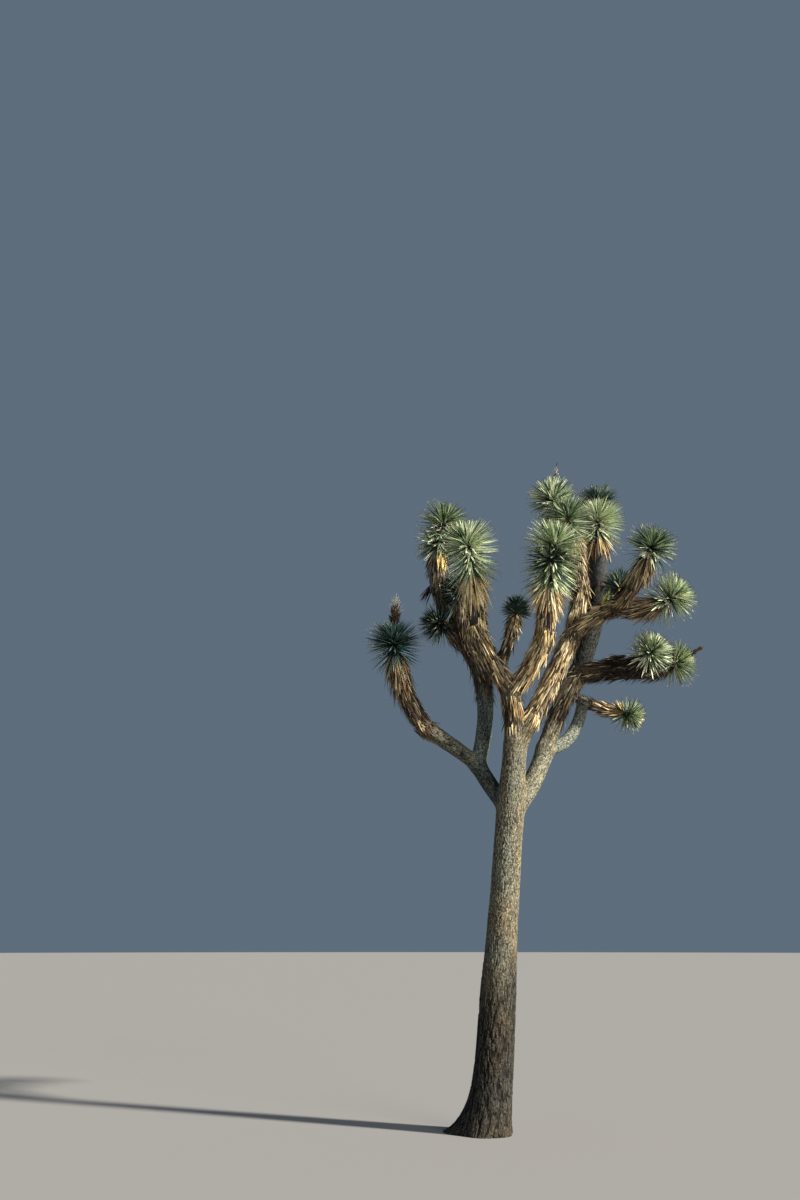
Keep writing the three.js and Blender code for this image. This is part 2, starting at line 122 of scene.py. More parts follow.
# How live leaves stand on a stem, as in the solids, where each blade stands for a spray of real leaves.
CROWN = (0.1, 19, (10, 95))  # length of stem, blades and leans next to the growing tip
FALL = (0.02, (95, 131))  # spacing of blades and leans further down
LEAVES_PER_BLADE = 16
GOLDEN_TURN = math.radians(137.508)
ROOT_SUNK = 0.012
LEAF_CLEAR = 0.004
SPACE_MARGIN = 0.1  # neighbouring heads reach into each other by half of this
LEAF_WIDTH = 0.0165
YOUNG = (0.62, 0.45)  # how long the youngest leaf is, and the share of the crown where leaves are full grown
OLD_LEAF = 0.9  # the oldest live leaves are this much as long as the young ones
SPINE_LENGTH = 0.016
SPINE_WIDTH = 0.0032

# Dead leaves: a splayed skirt that hangs under the live ones, and thatch pressed down on the stem below that
# and on some limbs, with a ragged leaf here and there.
DEAD_WIDTH = 0.0125
DEAD_SHARE = 0.84  # the length of a skirt's leaf as a share of a live one's
SKIRT_START = 0.94  # the share of the live leaves' stem at which the skirt starts
SKIRT_DEPTHS = (0, 0.1, 0.24, 0.6)  # below its start
SKIRT_LEANS = (168, 174)  # at the last two; the first is the head's own, and the second is halfway on to 180
SKIRT_TURNS = (0.1, 0.26)  # the depths between which the skirt takes on the thatch's tones
SKIRT_DEEPEST = 0.17  # where the last leaves of a skirt are rooted
SKIRT_CROWDING = 1.3  # above 1 its leaves crowd at the top
SKIRT_PER_METRE = 960
SKIRT_PULL = 0.4  # how much the skirt of an upright head hangs, against the way its leaves grew
RAGGED = 0.14  # the share of ragged leaves in the thatch
THATCH_PER_AREA = 2300
THATCH_LUMPS = (0.011, 1.3, 9)  # height of the thatch's lumps, and how many to a turn and to a metre
HOLLOW = 0.35  # how far from the middle height a leaf lies wholly in a hollow or on a lump
TUFT_ARCH = 0.03

# Blades: stations along the leaf, its widths there, and its section, across and up, as shares of the width. A
# live leaf is stiff, with a groove above and a keel below.
LIVE_BLADE = ((0, 0.38, 0.78), (1, 1, 0.55), ((0.5, 0.13), (0, 0), (-0.5, 0.13), (0, -0.2)))
SPINE_BLADE = ((0,), (1,), ((0.5, -0.3), (0, 0.58), (-0.5, -0.3)))
DEAD_STATIONS = (0, 0.45, 0.8)
DEAD_SECTION = ((0.5, 0.05), (-0.5, 0.05), (0, -0.14))
DEAD_BLADE, BRACT_BLADE, TWIG_BLADE = (
    (DEAD_STATIONS, widths, DEAD_SECTION) for widths in ((1.1, 0.9, 0.5), (0.8, 1.1, 0.7), (1, 0.8, 0.9)))

# The blade, the roughness and shine and the slot of live and of dead leaves.
LIVE_LOOK = (LIVE_BLADE, (0.42, 0.4), "leaves")
DEAD_LOOK = (DEAD_BLADE, (0.8, 0.2), "dead_leaves")

# Leaves are kept in a table: root, way, width direction, sag direction, length, width and arch.
LEAF = np.dtype([(field, float, 3) for field in ("root", "way", "flat", "sag")]
                + [(field, float) for field in ("length", "width", "arch")])

# What chance gives each leaf, from and to, in the order drawn: leans and rolls in degrees, turns in radians.
# Of live leaves and skirts: lean, turn, length and width as shares, arch and roll.
LIVE_DRAWS = ((-9, 9), (-0.2, 0.2), (0.82, 1.04), (0.8, 1.15), (-0.04, 0.05), (-25, 25))
SKIRT_DRAWS = ((-13, 11), (-0.2, 0.2), (0.65, 1.1), (0.7, 1.2), (-0.06, 0.1), (-40, 40))
WHORL_DRAWS = ((-9, 9), (0.8, 1.1), (-25, 25), (0.85, 1.05))  # lean, width, roll, length
TUFT_DRAWS = ((-0.03, 0.03), (-12, 12), (0.7, 1.1), (0.9, 1.3), (-30, 30))  # place, lean, length, width, roll
SCALE_DRAWS = ((0, 1), (-10, 10), (0.6, 1.1), (-30, 30))  # place, lean, length, roll
# Of thatch: place, raggedness, ragged lean, pressed lean, turn, length in metres, width, arch, roll, depth.
THATCH_DRAWS = ((0, 1), (0, 1), (150, 168), (172, 179), (0, 2 * math.pi), (0.08, 0.15), (0.6, 1.2),
                (-0.02, 0.02), (-30, 30), (0.004, 0.012))

# The light and the dark colour of each tone, and of the flower stalks.
TONES = {
    # The first three tones are painted shade: dark and blue-green leaves for heads in shade and for the
    # shadowed gaps between leaves.
    "deep": ((0.026, 0.062, 0.048), (0.01, 0.027, 0.021)),
    "teal": ((0.03, 0.098, 0.084), (0.017, 0.06, 0.053)),
    "steel": ((0.165, 0.235, 0.222), (0.1, 0.15, 0.142)),
    "sage": ((0.42, 0.5, 0.325), (0.25, 0.32, 0.195)),
    "mint": ((0.62, 0.7, 0.48), (0.44, 0.53, 0.35)),
    # The next tone is partly the leaves' pale edges and partly painted highlight.
    "pale": ((0.82, 0.83, 0.63), (0.66, 0.69, 0.5)),
    "green": ((0.165, 0.255, 0.115), (0.078, 0.136, 0.056)),
    "lime": ((0.44, 0.52, 0.2), (0.28, 0.36, 0.12)),
    "white": ((0.8, 0.8, 0.69), (0.64, 0.65, 0.54)),
    "gold": ((0.82, 0.62, 0.24), (0.59, 0.42, 0.14)),
    # The near-black tone below is painted shadow for thatch and skirts that lie in shade.
    "soot": ((0.026, 0.02, 0.016), (0.01, 0.008, 0.007)),
    "cream": ((0.87, 0.755, 0.48), (0.68, 0.545, 0.3)),
    "straw": ((0.58, 0.46, 0.27), (0.4, 0.31, 0.17)),
    "tan": ((0.33, 0.25, 0.145), (0.19, 0.14, 0.08)),
    "russet": ((0.27, 0.15, 0.07), (0.15, 0.08, 0.04)),
    "brown": ((0.078, 0.055, 0.036), (0.03, 0.021, 0.015)),
    "grey": ((0.25, 0.235, 0.195), (0.115, 0.107, 0.092)),
    "bract": ((0.09, 0.06, 0.038), (0.032, 0.022, 0.016)),
    "flower_twig": ((0.84, 0.81, 0.72), (0.66, 0.62, 0.52)),
}
LIVE_TONES = ("deep", "teal", "steel", "sage", "mint", "pale", "green", "lime")

# Mixes of tones, with the percentage of each.
MIXES = {
    # The next three mixes are painted shade, for heads that lie in shade.
    "shade": dict(deep=48, teal=26, steel=18, green=8),
    "teal": dict(deep=38, teal=40, steel=22),
    "haze": dict(deep=30, teal=20, steel=36, sage=14),
    # In the live mixes from here on, the darkest tone's share is painted shade in the gaps between leaves.
    "sage": dict(deep=16, teal=6, sage=38, mint=20, green=20),
    "mint": dict(deep=12, sage=27, mint=42, pale=11, green=8),
    "bright": dict(deep=6, sage=20, mint=48, pale=20, lime=6),
    "green": dict(deep=20, teal=4, sage=30, mint=20, green=26),
    # The next mix is painted shade for the middle of a second whorl.
    "whorl_shade": dict(deep=50, teal=10, sage=10, green=30),
    "dusk": dict(deep=32, teal=14, sage=32, green=22),
    "fresh": dict(deep=10, sage=18, mint=34, pale=14, green=10, lime=14),
    "pied": dict(deep=32, sage=26, mint=24, pale=8, green=10),
    # The cream of the next mix is partly the skirts' own colour and partly painted light, brightened for a
    # skirt that lies in shadow.
    "splay": dict(gold=16, cream=70, straw=4, russet=3, brown=7),
    "hay": dict(gold=6, cream=28, straw=34, tan=10, russet=10, brown=12),
    "straw": dict(cream=14, straw=38, tan=24, russet=6, brown=13, grey=5),
    "tan": dict(cream=2, straw=22, tan=34, russet=10, brown=27, grey=5),
    "amber": dict(gold=9, cream=10, straw=28, tan=18, russet=19, brown=16),
    "brown": dict(straw=8, tan=20, russet=8, brown=56, grey=8),
    "dark": dict(cream=3, straw=3, tan=7, brown=82, grey=5),
    "grey": dict(straw=6, tan=14, brown=36, grey=44),
    "pale_grey": dict(cream=10, straw=16, tan=20, brown=22, grey=32),
    "gold": dict(gold=74, cream=10, straw=10, brown=6),
    "lime": dict(lime=65, gold=35),
    "white": dict(white=100),
    # The next mix is painted shadow on skirts and thatch that lie in shade.
    "black": dict(soot=84, brown=8, straw=4, grey=4),
    "rust": dict(cream=24, gold=10, straw=24, russet=18, tan=12, brown=12),
}

# The looks of each head: the mixes of young and old live leaves, of the skirt and of the thatch below it, and
# how far the skirt's first leaves lean.
HEAD_LOOKS = {
    # Heads that lie in shade take the painted-shade mixes: head_far_left, head_left_back, head_left_side,
    # head_small_middle, head_back_tall and head_right_back.
    "head_far_left": ("teal", "teal", "tan", "brown", 142),
    "head_left_top": ("green", "pied", "grey", "grey", 145),
    "head_left_back": ("haze", "haze", "grey", "dark", 146),
    "head_left_side": ("haze", "haze", "brown", "brown", 150),
    # The next head's skirt and thatch take the brightest dead mix as painted light, since they lie in shadow.
    "head_middle_left": ("mint", "mint", "splay", "splay", 130),
    "head_small_middle": ("teal", "shade", "straw", "tan", 120),
    "head_middle_right": ("fresh", "pied", "splay", "amber", 106),
    "head_top": ("mint", "dusk", "tan", "brown", 140),
    "head_top_front": ("sage", "green", "straw", "tan", 140),
    "head_right_tall": ("bright", "bright", "rust", "brown", 134),
    "head_back_tall": ("haze", "shade", "tan", "brown", 140),
    "head_right_high": ("dusk", "pied", "tan", "brown", 148),
    "head_right_outer": ("mint", "pied", "tan", "dark", 156),
    "head_right_back": ("haze", "shade", "brown", "dark", 150),
    # The black mixes of the next two heads are painted shadow.
    "head_low_front": ("mint", "pied", "black", "black", 150),
    "head_low_right": ("fresh", "pied", "dark", "black", 154),
    "head_lowest": ("mint", "sage", "tan", "tan", 150),
}
BARE_STEMS = {"head_right_tall": 0.11}  # heads with dead leaves only this far below the live ones
LONG_SKIRTS = {"head_far_left": 0.3, "head_middle_left": 0.28}  # heads whose skirt is rooted this far down

# Thatched limbs: the share of the run where thatch starts, and its mixes on its lumps and in its hollows,
# where the darker mix is painted shade.
THATCH = {
    "arm_left_low": (0.84, "brown", "dark"),
    "arm_left_high": (0.57, "grey", "dark"),
    "bough_middle": (0.36, "amber", "dark"),
    "arm_middle_left": (0.08, "straw", "brown"),
    "arm_middle_right": (0.08, "hay", "amber"),
    "bough_right": (0.25, "straw", "tan"),
    "arm_right_inner": (0, "straw", "brown"),
    "arm_right_outer": (0, "straw", "brown"),
    "arm_back_right": (0.3, "pale_grey", "dark"),
    # arm_right_low is painted in shadow tones, on its lumps and in its hollows alike.
    "arm_right_low": (0, "dark", "black"),
}
THATCH_DEPTH = 0.008  # thatched bark lies this far inside
THATCH_FADE = 0.08

# Tufts of leaves that stand apart: stem, distance from its tip, turn round it (-90 is towards the viewer),
# spread, leaves, length, lean, height above the stem, and mix. The white ones are the feet of live leaves;
# those in the dark blue-green mixes are painted shade.
TUFTS = (
    ("head_left_top", 0.4, -72, 24, 50, 0.18, 163, 0.022, "gold"),
    ("head_left_top", 0.74, 175, 26, 36, 0.17, 132, 0.02, "dark"),
    ("head_left_back", 0.22, 175, 45, 40, 0.2, 138, 0, "haze"),
    ("head_left_side", 0.16, 0, 45, 40, 0.24, 70, 0, "teal"),
    ("head_lowest", 0.13, -140, 40, 24, 0.1, 125, 0, "gold"),
    ("arm_right_outer", 0.17, 170, 50, 26, 0.13, 50, 0, "lime"),
    ("head_back_tall", 0.03, 10, 50, 22, 0.23, 24, -0.01, "teal"),
    ("head_left_top", 0.11, -90, 65, 20, 0.12, 118, 0.03, "white"),
    ("head_middle_left", 0.13, -90, 50, 12, 0.12, 122, 0.02, "white"),
    ("head_right_tall", 0.14, -90, 50, 10, 0.11, 122, 0.02, "white"),
    ("head_right_high", 0.12, -110, 60, 18, 0.1, 122, 0.03, "white"),
    ("head_right_outer", 0.14, -80, 80, 26, 0.1, 118, 0.03, "white"),
    ("head_low_front", 0.13, -90, 60, 14, 0.1, 122, 0.02, "white"),
)

# Second whorls of live leaves on the side of a head: its distance from the tip, the way it faces, number and
# length of its leaves, and of the white feet at its middle.
WHORLS = (
    ("head_left_top", 0.31, (-0.15, -0.9, 0.15), 72, 0.215, 20),
    ("head_middle_right", 0.22, (-0.4, -0.85, -0.1), 72, 0.23, 22),
)
WHORL_BUD = (0.1, (0.05, 0.02))  # length and radii of its own short stem
FEET_LEANS = (35, 75)

# Dry flower stalks: head, length from its heart, lean, and for the bracts and the twigs above them the shares
# of the length that carry them, their number, length and leans.
STALKS = (
    ("head_far_left", 0.385, (0.05, 0.1, 1),
     ((0.42, 0.78), 110, 0.095, (46, 22)), ((0.72, 1), 60, 0.095, (75, 10))),
    ("head_top", 0.4, (0.2, 0.05, 1),
     ((0.3, 0.6), 40, 0.035, (40, 25)), ((0.45, 0.8), 16, 0.05, (80, 25))),
    ("head_low_right", 0.285, (0.85, 0.1, 0.55),
     ((0.35, 1), 46, 0.045, (52, 20)), ((0.9, 1), 3, 0.03, (30, 10))),
)
STALK_RADII = (0.013, 0.005)
BRACT_WIDTH = 0.017
TWIG_WIDTH = 0.0075

# The pieces of bark, each with its limbs, which follow one another in their table.
SKINS = {
    "trunk_skin": ["trunk"],
    "left_bough_skin": [row[0] for row in LIMBS[:6]],
    "right_bough_skin": [row[0] for row in LIMBS[6:9]],
    "low_right_bough_skin": [row[0] for row in LIMBS[9:]],
}

# Bark: depth of the furrows, width of a ridge, how many times as long it is, paleness and warmth from 0 to 1.
# Low warmth tints bark blue as painted skylit shade.
BARK = {
    "trunk": (0.0062, 0.0115, 3.2, 0.8, 0.46),
    # The next limb is darker and bluer as painted shade.
    "bough_left": (0.0024, 0.0115, 1.8, 0.3, 0),
    "arm_left_low": (0.0034, 0.012, 3, 0.55, 0.3),
    "arm_left_high": (0.0024, 0.0105, 1.6, 1, 0),
    "bough_middle": (0.0038, 0.012, 4, 0.75, 0.5),
    "arm_middle_left": (0.0038, 0.012, 4, 0.6, 0.4),
    "arm_middle_right": (0.0038, 0.012, 4, 0.6, 0.5),
    "bough_right": (0.004, 0.013, 4, 0.55, 0.6),
    "arm_right_inner": (0.0038, 0.012, 4, 0.35, 0.7),
    "arm_right_outer": (0.0038, 0.012, 4, 0.4, 0.6),
    "bough_low_right": (0.0026, 0.0115, 2.2, 1, 0.35),
    "arm_back_right": (0.005, 0.014, 4, 0.55, 0.5),
    "arm_right_low": (0.004, 0.013, 4, 0.2, 0.4),
    # The next limb's bark is made darker as painted shade.
    "arm_back_high": (0.0046, 0.013, 2.2, 0, 0.1),
    "arm_low_outer": (0.0024, 0.0105, 1.8, 1, 0.15),
}
LOW_TRUNK = (0.01, 0.015, 7, 0, 0.42)  # the same for the foot of the trunk
TRUNK_TURNS_PALE = (0.8, 2)  # the heights between which the trunk's bark turns pale
TRUNK_BARK_RADIUS = 0.16  # its bark is laid out as on a round trunk of this radius
BARK_VOXEL = 0.0065
COLLAR = 0.014  # how softly limbs run into each other
NEAR = 0.16  # limbs further than this from a point don't shape it
PULL_IN = 0.02  # the furthest that a point of the skin moves in one step towards the limbs' surface
RIDGE_WANDER = 0.7  # how far ridges stray, in their own widths
FURROWS = (0.3, 0.45)  # widths of the broad and of the narrow furrows
FINER = 2.3  # how many times as fine the narrow ones are
PALE_PATCH, WARM_PATCH = 0.1, 0.15  # how large the patches of pale and of warm bark are
UNDER_GROUND = 0.03  # the trunk is made this much too deep and then cut level
DOWN = np.array((0, 0, -1.0))


def unit(vectors):
    """The vectors at length one."""
    return vectors / np.linalg.norm(vectors, axis=-1, keepdims=True)


def turned(vectors, axes, angles):
    """Each vector turned about its unit axis by its angle."""
    cosine, sine = np.cos(angles)[:, None], np.sin(angles)[:, None]
    along = (axes * vectors).sum(axis=1, keepdims=True) * axes
    return vectors * cosine + np.cross(axes, vectors) * sine + along * (1 - cosine)


def smooth_step(low, high, values):
    """0 below low, 1 above high, and a smooth rise between."""
    share = np.clip((values - low) / (high - low), 0, 1)
    return share * share * (3 - 2 * share)


class Curve:
    """A quadratic curve that is walked by the share of its length."""

    STEPS = 200

    def __init__(self, start, control, tip):
        self.start, self.control, self.tip = (np.array(p, float) for p in (start, control, tip))
        self.bends = np.linspace(0, 1, self.STEPS + 1)
        walked = np.linalg.norm(np.diff(self._at(self.bends), axis=0), axis=1)
        self.walked = np.concatenate([[0], np.cumsum(walked)])
        self.run = self.walked[-1]

    def _at(self, bend):
        bend = np.asarray(bend)[..., None]
        return (1 - bend) ** 2 * self.start + 2 * bend * (1 - bend) * self.control + bend**2 * self.tip

    def _bend(self, share):
        return np.interp(np.asarray(share) * self.run, self.walked, self.bends)

    def place(self, share):
        """The points at shares of the run."""
        return self._at(self._bend(share))

    def way(self, share):
        """The unit directions at shares of the run."""
        bend = self._bend(share)[..., None]
        return unit((1 - bend) * (self.control - self.start) + bend * (self.tip - self.control))

    def across(self, share):
        """Two directions across the curve that turn with it."""
        way = self.way(share)
        side = unit(np.cross((0, 1, 0), way))
        return side, np.cross(way, side)


def bend_through(start, via, tip):
    """A curve from start to tip that passes through via halfway."""
    start, via, tip = (np.array(p, float) for p in (start, via, tip))
    return Curve(start, 2 * via - 0.5 * start - 0.5 * tip, tip)


class Limb:
    """A round limb: its curve, its radius at a share of the run, and the share where its round tip starts."""

    SAMPLES = 33

    def __init__(self, name, curve, radius, perch, level=False):
        self.name, self.curve, self.radius, self.perch, self.level = name, curve, radius, perch, level
        self.shares = np.linspace(0, perch, self.SAMPLES)
        self.places = curve.place(self.shares)

    def share_near(self, points):
        """The share of the run where the limb's middle is nearest to each point."""
        if self.level:
            return np.interp(points[:, 2], self.places[:, 2], self.shares)
        starts, steps = self.places[:-1], np.diff(self.places, axis=0)
        best, share = np.full(len(points), np.inf), np.zeros(len(points))
        for k, (start, step) in enumerate(zip(starts, steps)):
            part = np.clip((points - start) @ step / (step @ step), 0, 1)
            far = ((points - start - part[:, None] * step) ** 2).sum(axis=1)
            nearer = far < best
            best[nearer] = far[nearer]
            share[nearer] = self.shares[k] + part[nearer] * self.shares[1]
        return share

    def reach(self, points):
        """For each point: the distance to the limb's surface, the way out from its middle, and the share."""
        share = self.share_near(points)
        out = points - self.curve.place(share)
        far = np.maximum(np.linalg.norm(out, axis=1), 1e-9)
        out /= far[:, None]
        compass = (np.arctan2(out[:, 1], out[:, 0]),) if self.level else ()
        return far - self.radius(share, *compass), out, share


def trunk_radius(share, angle):
    """The trunk's radius with the root flare's lobes."""
    height = share * TRUNK_TIP[2]
    flare = sum(
        reach * np.maximum(0, np.cos(angle - math.radians(compass))) ** power
        for compass, reach, power in FLARE_LOBES
    )
    return np.interp(height, TRUNK_HEIGHTS, TRUNK_RADII) + flare * np.exp(-height / FLARE_HEIGHT)


def grow_limbs():
    """The trunk and every limb by name."""
    trunk = bend_through((0, 0, 0), TRUNK_MIDDLE, TRUNK_TIP)
    limbs = {"trunk": Limb("trunk", trunk, trunk_radius, 1 - TRUNK_DOME / TRUNK_TIP[2], level=True)}
    for name, on, via, tip, radii, *at in LIMBS:
        parent = limbs[on]
        curve = bend_through(parent.curve.place(*at or [parent.perch]), via, tip)
        radius = lambda share, radii=radii: np.interp(share, (0, 1), radii)
        limbs[name] = Limb(name, curve, radius, 1 - radii[1] / curve.run)
    return limbs


class Head:
    """A head of leaves: its stem's curve and radius, and the sizes of its leaves."""

    def __init__(self, index, limbs, name, on, heart, facing, live, skirt, leaf, slim=1, at=None):
        parent = limbs[on]
        perch = parent.perch if at is None else at
        start = parent.curve.place(perch)
        growth = unit(np.array(facing, float))
        tip = np.array(heart) + growth * HEART_DEPTH
        control = tip - growth * STEM_SWING * np.linalg.norm(tip - start)
        self.curve = Curve(start, control, tip)
        self.index, self.name, self.heart = index, name, np.array(heart)
        self.live, self.skirt, self.leaf, self.slim = live, skirt, leaf, slim
        foot = slim * SKIRT_RADII[1] if at is not None else parent.radius(perch)
        end = live + skirt
        self.backs = (0, GROWING_TIP[0], live, live + SKIRT_SHOULDER, end, max(self.curve.run, end + 0.001))
        self.radii = [slim * r for r in (GROWING_TIP[1], *LIVE_RADII, *SKIRT_RADII)] + [float(foot)]

    def radius(self, share):
        """The stem's radius at a share of its run."""
        return np.interp((1 - np.asarray(share)) * self.curve.run, self.backs, self.radii)

    def share(self, back):
        """The share of the run at a distance back from the growing tip."""
        return 1 - np.asarray(back) / self.curve.run


class Stalk:
    """A thin straight stem between two points, tapering between two radii."""

    def __init__(self, foot, tip, radii):
        self.curve, self.radii = bend_through(foot, (np.array(foot) + tip) / 2, tip), radii

    def radius(self, share):
        """The radius at a share of its run."""
        return np.interp(share, (0, 1), self.radii)


LIMB = grow_limbs()
HEAD = {row[0]: Head(index, LIMB, *row) for index, row in enumerate(HEADS)}


def hashed(cells, seed):
    """A number from 0 to 1 for each cell of a lattice, the same each run."""
    x, y, z = (cells[..., axis].astype(np.int64) for axis in range(3))
    mixed = (x * 73856093 ^ y * 19349663 ^ z * 83492791 ^ seed * 2654435761) & 0xFFFFFFFF
    for _ in range(2):
        mixed = ((mixed >> 16) ^ mixed) * 0x45D9F3B & 0xFFFFFFFF
    return ((mixed >> 16) ^ mixed) / 2**32


def soft_noise(points, seed):
    """Smooth noise from -1 to 1 with features about one unit across."""
    cells = np.floor(points)
    part = points - cells
    part = part * part * (3 - 2 * part)
    total = np.zeros(len(points))
    for corner in np.ndindex(2, 2, 2):
        weight = np.prod(np.where(corner, part, 1 - part), axis=1)
        total += weight * hashed(cells + corner, seed)
    return 2 * total - 1


def ridges(spots, seed):
    """Interlaced ridges about one unit across: 0 in a furrow and up to 1 on a crest."""
    wander = np.column_stack([soft_noise(spots / 3, seed + k) for k in range(3)])
    spots = spots + RIDGE_WANDER * wander
    broad = smooth_step(0, FURROWS[0], np.abs(soft_noise(spots, seed + 3)))
    narrow = smooth_step(0, FURROWS[1], np.abs(soft_noise(FINER * spots, seed + 4)))
    return broad * (0.55 + 0.45 * narrow)


def placed(name, data):
    """A new object in the scene."""
    thing = bpy.data.objects.new(name, data)
    bpy.context.scene.collection.objects.link(thing)
    return thing


def make_mesh(name, points, faces):
    """A mesh object from arrays of points and of faces with the same number of corners."""
    mesh = bpy.data.meshes.new(name)
    mesh.vertices.add(len(points))
    mesh.loops.add(faces.size)
    mesh.loops.foreach_set("vertex_index", np.ascontiguousarray(faces, np.int32).ravel())
    mesh.polygons.add(len(faces))
    mesh.polygons.foreach_set("loop_start", np.arange(0, faces.size, faces.shape[1], dtype=np.int32))
    set_points(mesh, points)
    mesh.update(calc_edges=True)
    mesh.validate()
    return placed(name, mesh)


def vectors_of(items, field):
    """A vector field of a mesh's items as an array."""
    numbers = np.empty(len(items) * 3, np.float32)
    items.foreach_get(field, numbers)
    return numbers.reshape(-1, 3).astype(float)


def set_points(mesh, points):
    """Moves a mesh's points."""
    mesh.vertices.foreach_set("co", np.ascontiguousarray(points, np.float32).ravel())
    mesh.update()


def set_attribute(mesh, name, values):
    """Stores a number or a vector for each point of a mesh."""
    kind, field = ("FLOAT", "value") if values.ndim == 1 else ("FLOAT_VECTOR", "vector")
    attribute = mesh.attributes.new(name, kind, "POINT")
    attribute.data.foreach_set(field, np.ascontiguousarray(values, np.float32).ravel())


def around(count):
    """Even turns all round."""
    return np.linspace(0, 2 * math.pi, count, endpoint=False)


def tube(places, sides, others, radii):
    """Points and quads of a closed tube: ring centres, two directions across them, radii by ring and turn."""
    rings, count = radii.shape
    turns = around(count)[None, :, None]
    ways = sides[:, None] * np.cos(turns) + others[:, None] * np.sin(turns)
    points = (places[:, None] + ways * radii[..., None]).reshape(-1, 3)
    ring, corner = np.meshgrid(np.arange(rings - 1), np.arange(count), indexing="ij")
    low, high, after = ring * count, (ring + 1) * count, (corner + 1) % count
    faces = np.stack([low + corner, low + after, high + after, high + corner], axis=-1).reshape(-1, 4)
    # Each end closes on its middle with quads that take two sides at a time.
    even = np.arange(0, count, 2)
    middle, top = np.full(len(even), len(points)), (rings - 1) * count
    low_end = np.stack([middle, (even + 2) % count, even + 1, even], axis=1)
    high_end = np.stack([middle + 1, top + even, top + even + 1, top + (even + 2) % count], axis=1)
    return np.vstack([points, places[[0, -1]]]), np.vstack([faces, low_end, high_end])


def limb_tube(limb, ring_spacing, side_count):
    """A plain tube for a limb, with a round tip."""
    steps = np.linspace(0, limb.perch, max(4, round(limb.perch * limb.curve.run / ring_spacing)))
    tips = limb.perch + (1 - limb.perch) * np.sin(np.linspace(0, math.pi / 2, 7)[1:-1])
    shares = np.concatenate([steps, tips])
    round_in = np.sqrt(1 - np.clip((shares - limb.perch) / (1 - limb.perch), 0, 1) ** 2)[:, None]
    places = limb.curve.place(shares)
    if not limb.level:
        radii = np.repeat(limb.radius(shares)[:, None] * round_in, side_count, axis=1)
        return tube(places, *limb.curve.across(shares), radii)
    places = np.vstack([places[:1] - (0, 0, UNDER_GROUND), places])
    shares, round_in = np.concatenate([[0], shares]), np.vstack([[1], round_in])
    radii = limb.radius(shares[:, None], around(side_count)[None, :]) * round_in
    return tube(places, *(np.tile(axis, (len(shares), 1)) for axis in np.eye(3)[:2]), radii)


def joined(parts):
    """Several (points, faces) as one."""
    starts = np.cumsum([0] + [len(points) for points, _ in parts[:-1]])
    return np.vstack([points for points, _ in parts]), np.vstack([f + s for (_, f), s in zip(parts, starts)])


def remeshed(thing, voxel):
    """Replaces an object by its skin of even small quads."""
    modifier = thing.modifiers.new("skin", "REMESH")
    modifier.mode, modifier.voxel_size = "VOXEL", voxel
    skin = bpy.data.meshes.new_from_object(thing.evaluated_get(bpy.context.evaluated_depsgraph_get()))
    thing.modifiers.clear()
    old, thing.data = thing.data, skin
    bpy.data.meshes.remove(old)


def field(points):
    """The smooth union of all limbs at each point: its distance, the way out, and each limb's share in it."""
    names = list(LIMB)
    gaps = np.full((len(names), len(points)), np.inf)
    outs = np.zeros((len(names), len(points), 3))
    shares = np.zeros((len(names), len(points)))
    for row, limb in enumerate(LIMB.values()):
        widest = NEAR + (0.5 if limb.level else 0.1)
        low, high = limb.places.min(axis=0) - widest, limb.places.max(axis=0) + widest
        inside = np.flatnonzero(((points > low) & (points < high)).all(axis=1))
        gaps[row, inside], outs[row, inside], shares[row, inside] = limb.reach(points[inside])
    nearest = gaps.min(axis=0)
    weights = np.exp(-(gaps - nearest) / COLLAR)
    total = weights.sum(axis=0)
    weights /= total
    way = (weights[..., None] * outs).sum(axis=0)
    return nearest - COLLAR * np.log(total), way, weights, outs, shares


def thatched(limb, share):
    """How much of a limb's bark is hidden under thatch at a share of its run, from 0 to 1."""
    if limb.name not in THATCH:
        return np.zeros(len(share))
    first = THATCH[limb.name][0]
    return smooth_step(first - THATCH_FADE, first + THATCH_FADE, share)


def bark_relief(limb, out, share):
    """Bark coordinates, relief in metres, its height from 0 in a furrow to 1, paleness and warmth."""
    side, other = limb.curve.across(share)
    middle = TRUNK_BARK_RADIUS if limb.level else float(limb.radius(0.5))
    across = np.stack([(out * side).sum(axis=1), (out * other).sum(axis=1)], axis=1) * middle
    length = share * limb.curve.run
    seed = 11 * list(BARK).index(limb.name) + 5

    def pattern(row, seed):
        depth, width, stretch, pale, warm = row
        spots = np.column_stack([across, length / stretch]) / width
        height = 0.85 * ridges(spots, seed) + 0.3 * (0.5 + 0.5 * soft_noise(spots * 2.5, seed + 6))
        relief = depth * (height - 0.55) + 0.6 * depth * soft_noise(spots / 6, seed + 7)
        return np.stack([relief, height, np.full(len(share), pale), np.full(len(share), warm)])

    numbers = pattern(BARK[limb.name], seed)
    grain = np.column_stack([across, length / 2])
    if limb.level:
        patchy = 0.3 * soft_noise(grain / PALE_PATCH, seed + 8)
        rise = smooth_step(*TRUNK_TURNS_PALE, share * TRUNK_TIP[2] + patchy)
        numbers = pattern(LOW_TRUNK, seed + 20) * (1 - rise) + numbers * rise
        numbers[3] += 0.25 * soft_noise(grain / WARM_PATCH, seed + 9)
    hidden = thatched(limb, share)
    numbers[0] -= THATCH_DEPTH * hidden
    # Bark under the thatch is made darker: painted shade.
    numbers[1] *= 1 - 0.5 * hidden
    return grain, *numbers


